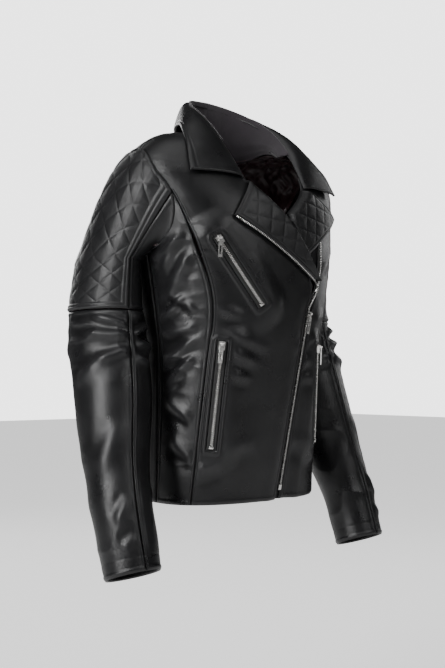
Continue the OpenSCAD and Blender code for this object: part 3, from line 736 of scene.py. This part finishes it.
def sleeve_pieces(side):
    mirror = side == "right"
    seed = 31 if mirror else 47
    arm, fore = f"{side}_sleeve", f"{side}_forearm"

    def upper(p_from, p_to):
        return lambda u, v: upper_point(mix(p_from, p_to, u), 1 - v)

    def lower(p_from, p_to):
        return lambda u, v: sleeve_ring(mix(p_from, p_to, u), mix(CUFF, ELBOW - 0.0008, v))

    def quilt_push(u, v, points):
        wide, tall = SLEEVE_WIDE, 0.235
        inner = ease((np.minimum(np.minimum(u, 1 - u) * wide, v * tall) - 0.010) / 0.003)
        puff = diamonds((v - 0.5) * tall, (u - 0.5) * wide, 0.0350, 0.0013)
        slack = 0.0012 * wander(points, 0.05, seed)
        border = 0.0014 * (1 - inner) + edge_dip(u, v, wide, tall, 0.0010)
        return puff * inner + slack * ease(v / 0.1) + border

    def plain_push(u, v, points):
        p = mix(BACK_SEAM, 360 + FRONT_SEAM, u)
        calm = ease(np.minimum(u, 1 - u) * SLEEVE_WIDE / 0.010)
        return (sleeve_creases(points, seed, p) * calm * ease(v * 0.2 / 0.02) * ease((1 - v) / 0.06)
                + edge_dip(u, v, SLEEVE_WIDE, 0.2))

    def forearm_push(p_from, p_to):
        def push(u, v, points):
            calm = ease(np.minimum(u, 1 - u) * SLEEVE_WIDE / 0.010)
            hem = 0.0006 * np.exp(-((v * FOREARM - 0.020) / 0.0007) ** 2)
            creases = sleeve_creases(points, seed, mix(p_from, p_to, u))
            fade = calm * ease(v / 0.06) * ease((1 - v) / 0.03)
            return creases * fade + edge_dip(u, v, SLEEVE_WIDE, FOREARM) - hem
        return push

    quilted = laid_sheet(f"{side}_quilted_sleeve", 190, 250, upper(FRONT_SEAM, BACK_SEAM), quilt_push, from_sleeve,
                         QUILT, None, mirror=mirror)
    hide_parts(f"{side}_quilted_upper")
    under = laid_sheet(f"{side}_under_sleeve", 90, 150, upper(BACK_SEAM, 360 + FRONT_SEAM), plain_push, from_sleeve,
                       SHELL, None, mirror=mirror)
    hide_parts(f"{side}_under_upper")
    outer = laid_sheet(f"{side}_forearm_top", 110, 240, lower(FRONT_SEAM, BACK_SEAM),
                       forearm_push(FRONT_SEAM, BACK_SEAM), from_sleeve,
                       SHELL, None, mirror=mirror)
    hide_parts(f"{side}_forearm_outer")
    inner = laid_sheet(f"{side}_forearm_under", 110, 240, lower(BACK_SEAM, 360 + FRONT_SEAM),
                       forearm_push(BACK_SEAM, 360 + FRONT_SEAM), from_sleeve,
                       SHELL, None, mirror=mirror)
    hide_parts(f"{side}_forearm_inner")
    for piece in (quilted, under):
        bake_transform(piece)
    for piece in (outer, inner):
        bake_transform(piece)
    # The lining shows at the cuff
    lining = laid_sheet(f"{side}_sleeve_satin", 72, 120,
                        lambda u, v: sleeve_ring(360 * u, mix(CUFF + 0.022, ELBOW - 0.003, v), 0.0040),
                        lambda u, v, q: 0.0005 * np.sin(np.radians(360 * u) * 18) * ease(v / 0.1), from_sleeve,
                        SATIN, None, wall=0.0006, mirror=mirror)
    upper_lining = laid_sheet(f"{side}_upper_satin", 72, 80,
                              lambda u, v: upper_point(360 * u, mix(0.04, 1, 1 - v), 0.0040),
                              lambda u, v, q: -0.0045 * ease(v / 0.5), from_sleeve,
                              SATIN, None, wall=0.0006, mirror=mirror)
    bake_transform(lining)
    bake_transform(upper_lining)
    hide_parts(f"{side}_sleeve_lining")
    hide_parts(f"{side}_sleeve_lining")
    cuff = laid_sheet(f"{side}_cuff_turn", 72, 16,
                      lambda u, v: sleeve_ring(360 * u, mix(CUFF + 0.0006, CUFF + 0.030, v), 0.0024),
                      lambda u, v, q: 0 * u, from_sleeve, SHELL, fore, wall=0.0010, mirror=mirror)
    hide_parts(f"{side}_cuff_facing")


sleeve_pieces("right")
sleeve_pieces("left")

# %% [markdown]
# ## Collar and lapels
#
# The collar stands up from the neck seam and folds over. One curve across it makes the roll: it starts
# inside the fold, rises over it and comes down to the leaf's edge. The lapels are the fronts' own leather
# turned over and quilted, so they lie a few millimetres above the fronts.

# %% Collar lines
TIP = BODY - 0.070
FOLD = BODY + 0.086
LAPEL_LIFT = 0.004
notch = at_x(0.059, NOTCH, -LAPEL_LIFT - 0.002)
FOLD_LINE = np.array([[0, 0.060, FOLD], [0.040, 0.050, FOLD - 0.006], [0.064, 0.016, FOLD - 0.026],
                      [0.070, -0.026, FOLD - 0.056], [0.068, -0.066, BODY - 0.011], notch])
LEAF_EDGE = np.array([[0, 0.090, BODY + 0.020], [0.047, 0.073, BODY + 0.020], [0.086, 0.027, BODY + 0.019],
                      [0.110, -0.018, BODY + 0.011], [0.133, -0.065, TIP + 0.040], [0.142, -0.086, TIP]])
NECK_SEAM = np.array([[0, 0.062, BODY + 0.002], [0.036, 0.056, BODY + 0.003], [0.060, 0.028, BODY + 0.007],
                      [0.065, -0.010, BODY + 0.006], [0.060, -0.044, BODY - 0.012], [0.056, -0.078, BODY - 0.050]])


def collar_at(u, line):
    points = smooth_at(np.abs(u), range(6), line)
    points[..., 0] *= np.where(u < 0, -1, 1)
    return points


def leaf_place(u, v):
    side = (u - 0.5) * 10
    a, b = collar_at(side, FOLD_LINE), collar_at(side, LEAF_EDGE)
    inward = unit(np.stack([-a[:, 0], -a[:, 1], 0 * side], -1))
    out = unit(np.stack([a[:, 0] + b[:, 0], a[:, 1] + b[:, 1], np.full_like(side, 0.15)], -1))
    taper = (1 - 0.75 * ease((np.abs(side) - 3.2) / 1.8))[:, None]
    start = a + inward * 0.003 + np.array([0, 0, -0.010]) * taper
    crest = a + np.array([0, 0, 0.014]) * taper - inward * 0.004
    shoulder = mix(a, b, 0.45) + out * 0.010 * taper + out * 0.006
    end = b + out * 0.0035
    t = v[:, None]
    return (1 - t) ** 3 * start + 3 * (1 - t) ** 2 * t * crest + 3 * (1 - t) * t**2 * shoulder + t**3 * end


def from_collar(points):
    out = points.copy()
    out[:, 2] = 0.15
    return out


def leaf_push(u, v, points):
    near = np.minimum(np.minimum(u, 1 - u) * 0.62, (1 - v) * 0.08)
    edge = -0.0012 * np.exp(-(near / 0.0016) ** 2) - 0.0007 * np.exp(-((near - 0.0065) / 0.0007) ** 2)
    return edge + 0.0012 * wander(points, 0.05, 71) + 0.0004 * wander(points, 0.018, 73)


leaf = laid_sheet("collar_leaf_leather", 260, 70, leaf_place, leaf_push, from_collar, SHELL, "jacket",
                  wall=0.0034)
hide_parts("collar_leaf")


def facing_place(u, v):
    side = (u - 0.5) * 8
    v = v * 1.22 - 0.22
    a, b = collar_at(side, NECK_SEAM), collar_at(side, FOLD_LINE)
    inward = unit(np.stack([-b[:, 0], -b[:, 1], 0 * side], -1))
    return mix(a, b, v[:, None]) + inward * (0.003 * ease(v / 0.3) - 0.003 * ease(-v / 0.2))[:, None]


facing = laid_sheet("collar_suede_facing", 160, 40, facing_place,
                    lambda u, v, q: 0.0008 * wander(q, 0.04, 79), lambda q: -from_collar(q), SUEDE, "jacket",
                    wall=0.0018)
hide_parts("collar_facing")

# %% Lapels
RIGHT_CORNER = np.array([-0.087, 0.757 * BODY])
LEFT_TIP = np.array([0.130, 0.795 * BODY])
LEFT_LOW = np.array([0.036, 0.668 * BODY])


def lapel(name, roll, edge_from, edge_to, node, tucked=False):
    """roll(t) gives the roll line's (x, z) from the notch, t = 0, to the bottom, t = 1."""
    def flat(u, v):
        edge = mix(edge_from, edge_to, u[:, None])
        return mix(roll(u), edge, v[:, None])

    def place(u, v):
        p = flat(u, v)
        lift = LAPEL_LIFT + 0.003 + 0.006 * (1 - v) ** 2 - 0.014 * np.exp(-v / 0.03)
        if tucked:
            under = roll_x(np.maximum(p[:, 1], BEND)) + 0.004 - p[:, 0]
            lift = lift - 0.013 * ease(under / 0.012) * (p[:, 1] < V_LOW + 0.02)
        return at_x(p[:, 0], p[:, 1], -lift)

    def push(u, v, points):
        p = flat(u, v)
        wide = np.linalg.norm(mix(roll(u), mix(edge_from, edge_to, u[:, None]), 1.0) - roll(u), axis=1)
        inner = ease((np.minimum((1 - v) * wide, u * 0.12) - 0.007) / 0.003) * ease(v * wide / 0.006)
        puff = diamonds(p[:, 0] * 0.8 + p[:, 1] * 0.6, p[:, 0] * 0.6 - p[:, 1] * 0.8, 0.0310, 0.0010)
        near = np.minimum((1 - v) * wide, np.minimum(u, 1 - u) * 0.13)
        edge = -0.0011 * np.exp(-(near / 0.0016) ** 2) - 0.0007 * np.exp(-((near - 0.0055) / 0.0006) ** 2)
        return puff * inner + edge + 0.0008 * wander(points, 0.045, 83)

    obj = laid_sheet(name, 150, 80, place, push, from_axis, QUILT, "jacket", wall=0.0026)
    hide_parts(node)


def right_roll(t):
    z = mix(NOTCH - 0.004, BEND + 0.008, t)
    return np.stack([roll_x(z), z], -1)


def left_roll(t):
    z = mix(NOTCH - 0.004, V_LOW - 0.012, t)
    return np.stack([np.maximum(-roll_x(z), 0.006 - 0.010 * ease((t - 0.8) / 0.2)), z], -1)


lapel("right_lapel_leather", right_roll, RIGHT_CORNER, np.array([0.051, BEND + 0.010]), "right_lapel")
lapel("left_lapel_leather", left_roll, LEFT_TIP, LEFT_LOW, "left_lapel", tucked=True)

# %% [markdown]
# ## Lining and hidden layers
#
# The satin lining hangs inside the body and shows in the neck as loose upright gathers. The placket, the
# hem turning and the bags lie between it and the leather.

# %% Lining
LINING_IN = 0.0075


def lining_push(u, v, points):
    loose = ease((v - 0.55) / 0.3)
    folds = ridges(points * np.array([3.0, 3.0, 0.45]), 0.04, 91) - 0.4
    calm = ease((1 - v) / 0.04) * ease(np.minimum(u, 1 - u) / 0.03)
    return 0.0008 * wander(points, 0.03, 93) - 0.006 * loose * folds * calm


def lining_piece(name, from_angle, to_angle, columns):
    obj = laid_sheet(name, columns, 200,
                     lambda u, v: skin_at(mix(from_angle(mix(0.02, FULL, v)), to_angle(mix(0.02, FULL, v)), u),
                                          mix(0.02, FULL, v), LINING_IN),
                     lining_push, from_axis, SATIN, "jacket", wall=0.0006)
    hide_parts("body_lining")


lining_piece("back_lining", lambda s: np.where(s < ARM_LOW, 90, back_limit(s)),
             lambda s: 360 - np.where(s < ARM_LOW, 90, back_limit(s)), 200)
lining_piece("right_front_lining", lambda s: -(90 - arm_offset(s)), lambda s: right_edge(s) - 5, 90)
lining_piece("left_front_lining", lambda s: left_edge(s) + 5, lambda s: 90 - arm_offset(s), 90)

# %% Placket, hem turning and pocketing
placket = laid_sheet("placket_leather", 30, 200,
                     lambda u, v: at_x(zip_x(np.minimum(mix(0.001, V_LOW, v), BEND)) + mix(-0.018, 0.018, u),
                                       mix(0.001, V_LOW, v), 0.0085),
                     lambda u, v, q: 0.0005 * wander(q, 0.03, 97), from_axis, SHELL, "jacket")
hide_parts("placket")
hem = laid_sheet("hem_turning", 220, 14,
                 lambda u, v: skin_at(mix(60, 300, u), mix(0.0008, 0.028, v), 0.0024),
                 lambda u, v, q: 0 * u, from_axis, SHELL, "jacket", wall=0.0010)
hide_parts("hem_facing")
for node in ("right_shoulder_pad", "left_shoulder_pad", "chest_pocket_bag", "right_pocket_bag", "left_pocket_bag",
             "hanger_loop"):
    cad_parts[node].data.materials[0] = TAPE

# %% [markdown]
# ## Zip teeth, tapes and metal
#
# One small bevelled tooth is made and repeated along each chain, the two rows interlocking by half a
# pitch. The sliders and pulls already have their shape, so a copy gets its edges bevelled to catch light.

# %% Teeth
PITCH = 0.0026


def tooth_mesh():
    bm = bmesh.new()
    bmesh.ops.create_cube(bm, size=1)
    bmesh.ops.scale(bm, vec=(0.0026, 0.0024, 0.00120), verts=bm.verts)
    bmesh.ops.bevel(bm, geom=bm.edges[:], offset=0.00030, affect="EDGES", segments=1, profile=0.5, material=-1)
    mesh = bpy.data.meshes.new("tooth")
    bm.to_mesh(mesh)
    bm.free()
    return mesh


TOOTH = tooth_mesh()


def teeth(name, route, side, nodes, closed=True):
    """route is a list of (point, outward) pairs; side says which way the teeth's roots lie."""
    points = np.array([p for p, o in route])
    outs = np.array([o for p, o in route])
    run = np.concatenate([[0], np.cumsum(np.linalg.norm(np.diff(points, axis=0), axis=1))])
    bm = bmesh.new()
    at = 0.001 + (PITCH / 2 if side > 0 else 0)
    while at < run[-1]:
        here = np.array([np.interp(at, run, points[:, k]) for k in range(3)])
        ahead = np.array([np.interp(min(at + 0.002, run[-1]), run, points[:, k]) for k in range(3)])
        behind = np.array([np.interp(max(at - 0.002, 0), run, points[:, k]) for k in range(3)])
        out = unit(np.array([np.interp(at, run, outs[:, k]) for k in range(3)]))
        up = unit(ahead - behind)
        across = unit(np.cross(out, up))
        out = np.cross(up, across)
        centre = in_frame(here) + across * side * 0.0009 + out * 0.0013
        first = len(bm.verts)
        bm.from_mesh(TOOTH)
        bm.verts.ensure_lookup_table()
        place = Matrix((across, out, up)).transposed().to_4x4()
        place.translation = Vector(centre)
        bmesh.ops.transform(bm, matrix=place, verts=bm.verts[first:])
        at += PITCH
    mesh = bpy.data.meshes.new(name)
    bm.to_mesh(mesh)
    bm.free()
    obj = new_object(name, mesh, NICKEL, "jacket")
    for face in mesh.polygons:
        face.use_smooth = False
    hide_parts(*nodes)
    print(name, len(mesh.polygons), "faces")


def on_shell(x, z, inset):
    return at_x(x, z, inset), outward(x, z)


def finer(route, steps=12):
    """The same route with a smooth curve through its points."""
    n = len(route) - 1
    at = np.linspace(0, n, n * steps + 1)
    points = smooth_at(at, range(n + 1), np.array([p for p, o in route]))
    outs = smooth_at(at, range(n + 1), np.array([o for p, o in route]))
    return list(zip(points, unit(outs)))


straight = [(MAIN.world(0.0, 0.0, -MAIN.length), MAIN.out), (MAIN.world(0.0, 0.0, 0.012), MAIN.out)]
LAPEL_EDGE_FROM = np.array([0.051, BEND + 0.007])
right_row = [straight[1], on_shell(0.062, BEND - 0.008, -0.001), on_shell(0.061, BEND - 0.001, -0.003),
             on_shell(0.054, BEND + 0.005, -LAPEL_LIFT - 0.001)]
for share in (0.25, 0.5, 0.75, 1.0):
    x, z = mix(LAPEL_EDGE_FROM, RIGHT_CORNER + np.array([0.001, -0.003]), share)
    right_row.append(on_shell(x, z, -LAPEL_LIFT - 0.001))
left_row = [straight[1], on_shell(0.067, BEND - 0.008, 0.0), on_shell(0.070, BEND + 0.012, -0.0004),
            on_shell(0.074, BEND + 0.036, -0.0004), on_shell(0.078, V_LOW - 0.004, -0.0004)]
teeth("right_main_teeth", [straight[0]] + finer(right_row), -1, ("main_teeth_right",))
teeth("left_main_teeth", [straight[0]] + finer(left_row), 1, ("main_teeth_left",))

# %% Pocket chains
for name, line in (("right_pocket", RIGHT_POCKET), ("left_pocket", LEFT_POCKET), ("chest", CHEST)):
    ends = [(line.world(0.0, 0.0, -line.length + 0.005), line.out), (line.world(0.0, 0.0, 0.006), line.out)]
    for side, word in ((-1, "first"), (1, "second")):
        teeth(f"{name}_{word}_teeth", ends, side, (f"{name}_teeth",))


# %% Tapes
def tape(name, route, low_side, high_side, node):
    points = np.array([p for p, o in route])
    outs = np.array([o for p, o in route])
    shares = np.linspace(0, 1, len(route))

    def place(u, v):
        p = np.stack([np.interp(v, shares, points[:, k]) for k in range(3)], -1)
        o = np.stack([np.interp(v, shares, outs[:, k]) for k in range(3)], -1)
        q = np.stack([np.interp(np.minimum(v + 0.01, 1), shares, points[:, k])
                      - np.interp(np.maximum(v - 0.01, 0), shares, points[:, k]) for k in range(3)], -1)
        across = unit(np.cross(o, q))
        return p + across * mix(low_side, high_side, u)[:, None]

    obj = laid_sheet(name, 8, 160, place, lambda u, v, q: 0 * u, lambda q: np.tile(outs.mean(0), (len(q), 1)),
                     TAPE, "jacket", wall=0.0008)
    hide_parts(node)


tape("right_main_tape", [straight[0]] + finer(right_row), -0.009, -0.0001, "main_tape_right")
tape("left_main_tape", [straight[0]] + finer(left_row), 0.0001, 0.009, "main_tape_left")
for name, line in (("right_pocket", RIGHT_POCKET), ("left_pocket", LEFT_POCKET), ("chest", CHEST)):
    ends = [(line.world(0.0, 0.0, -line.length), line.out), (line.world(0.0, 0.0, 0.006), line.out)]
    tape(f"{name}_zip_tape", ends, -0.0066, 0.0066, f"{name}_tape")


# %% Sliders, pulls and stops
def bevelled(node, body, width=0.00035):
    """Copy of a metal part with its loose triangles joined and its edges rounded."""
    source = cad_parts[node]
    bm = bmesh.new()
    bm.from_mesh(source.data)
    bmesh.ops.remove_doubles(bm, verts=bm.verts, dist=1e-6)
    bmesh.ops.dissolve_limit(bm, angle_limit=math.radians(2), verts=bm.verts, edges=bm.edges)
    mesh = bpy.data.meshes.new(node + "_metal")
    bm.to_mesh(mesh)
    bm.free()
    obj = new_object(node + "_metal", mesh, NICKEL, body)
    for face in mesh.polygons:
        face.use_smooth = False
    edge = obj.modifiers.new("edge", "BEVEL")
    edge.width = width
    edge.segments = 2
    edge.limit_method = "ANGLE"
    edge.angle_limit = math.radians(40)
    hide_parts(node)


for name in ("main", "chest", "right_pocket", "left_pocket"):
    bevelled(f"{name}_slider", f"{name}_slider")
    bevelled(f"{name}_pull", f"{name}_pull")
bevelled("main_bottom_box", "jacket")


def end_stop(name, line, at):
    bm = bmesh.new()
    bmesh.ops.create_cube(bm, size=1)
    bmesh.ops.scale(bm, vec=(0.0066, 0.0026, 0.0034), verts=bm.verts)
    bmesh.ops.bevel(bm, geom=bm.edges[:], offset=0.0005, affect="EDGES", segments=2, profile=0.5, material=-1)
    place = Matrix((line.across, line.out, line.up)).transposed().to_4x4()
    place.translation = Vector(in_frame(line.world(0.0, 0.0015, at)))
    bmesh.ops.transform(bm, matrix=place, verts=bm.verts)
    mesh = bpy.data.meshes.new(name)
    bm.to_mesh(mesh)
    bm.free()
    new_object(name, mesh, NICKEL, "jacket")


for name, line in (("right_pocket", RIGHT_POCKET), ("left_pocket", LEFT_POCKET), ("chest", CHEST)):
    end_stop(f"{name}_end_stop", line, -line.length + 0.003)

# %% [markdown]
# ## Studio
#
# A plain pale floor, a pale sky for even light, and large soft lamps: one before the wearer's right side
# that runs a highlight down the near sleeve, one from the front for the zips, and one behind.

# %% Floor and lights
lowest = float(cad_box[0][2])
bm = bmesh.new()
bmesh.ops.create_grid(bm, x_segments=1, y_segments=1, size=12)
floor_mesh = bpy.data.meshes.new("floor")
bm.to_mesh(floor_mesh)
bm.free()
for vert in floor_mesh.vertices:
    vert.co.z = lowest - 0.35
floor = bpy.data.objects.new("floor", floor_mesh)
bpy.context.scene.collection.objects.link(floor)
floor_material, floor_nodes, floor_links, floor_shader, _ = material("pale_floor", (0.92, 0.92, 0.92), 0.9)
floor_mesh.materials.append(floor_material)
# The floor glows a little where it is seen, and gives no light of its own
floor_shader.inputs["Emission Color"].default_value = (1, 1, 1, 1)
floor_seen = floor_nodes.new("ShaderNodeLightPath").outputs["Is Camera Ray"]
floor_links.new(spread(floor_nodes, floor_links, floor_seen, 0, 1, 0.0, 0.75),
                floor_shader.inputs["Emission Strength"])

world = bpy.data.worlds.new("studio")
bpy.context.scene.world = world
world.use_nodes = True
sky = world.node_tree.nodes["Background"]
sky.inputs["Color"].default_value = (1, 1, 1, 1)
# The backdrop is bright where it is seen, and dim as a light, so that black leather stays black
seen = world.node_tree.nodes.new("ShaderNodeLightPath")
strength = spread(world.node_tree.nodes, world.node_tree.links, seen.outputs["Is Camera Ray"], 0, 1, 0.045, 3.2)
world.node_tree.links.new(strength, sky.inputs["Strength"])


def lamp(name, place, aim, size, power):
    light = bpy.data.lights.new(name, "AREA")
    light.shape = "RECTANGLE"
    light.size, light.size_y = size
    light.energy = power
    obj = bpy.data.objects.new(name, light)
    bpy.context.scene.collection.objects.link(obj)
    obj.location = place
    obj.rotation_euler = (Vector(aim) - Vector(place)).to_track_quat("-Z", "Y").to_euler()


lamp("right_lamp", (-2.2, -0.4, 0.5), (0, 0, -0.35), (0.55, 1.7), 52)
lamp("front_lamp", (0.5, -2.4, 1.0), (0, 0, -0.3), (0.8, 0.8), 14)
lamp("left_lamp", (2.3, 0.2, 0.4), (0, 0, -0.3), (0.5, 1.4), 7)
lamp("back_lamp", (0.3, 2.4, 0.8), (0, 0, -0.3), (0.8, 1.4), 14)
sun = bpy.data.lights.new("sky_lamp", "SUN")
sun.energy = 1.1
sun.angle = math.radians(60)
sun_lamp = bpy.data.objects.new("sky_lamp", sun)
bpy.context.scene.collection.objects.link(sun_lamp)
sun_lamp.rotation_euler = (math.radians(12), math.radians(-18), 0)

# %% Camera
AZIMUTH = math.radians(-40)
DISTANCE = 1.4
FOCAL = 910.0
FRAME_WIDTH, FRAME_HEIGHT = 445, 668
AXIS_ACROSS, HORIZON_DOWN = 7.5, 47.0
toward = Vector((math.sin(AZIMUTH), -math.cos(AZIMUTH), 0))
camera_data = bpy.data.cameras.new("camera")
camera_data.sensor_fit = "VERTICAL"
camera_data.sensor_height = 36
camera_data.lens = 36 * FOCAL / FRAME_HEIGHT
camera = bpy.data.objects.new("camera", camera_data)
bpy.context.scene.collection.objects.link(camera)
camera.location = toward * DISTANCE + Vector((0, 0, 0.174)) - Vector(LOOP)
pitch = math.atan(HORIZON_DOWN / FOCAL)
yaw = math.atan(AXIS_ACROSS / FOCAL)
camera.rotation_euler = (math.pi / 2 + pitch, 0, AZIMUTH + yaw)
bpy.context.scene.camera = camera
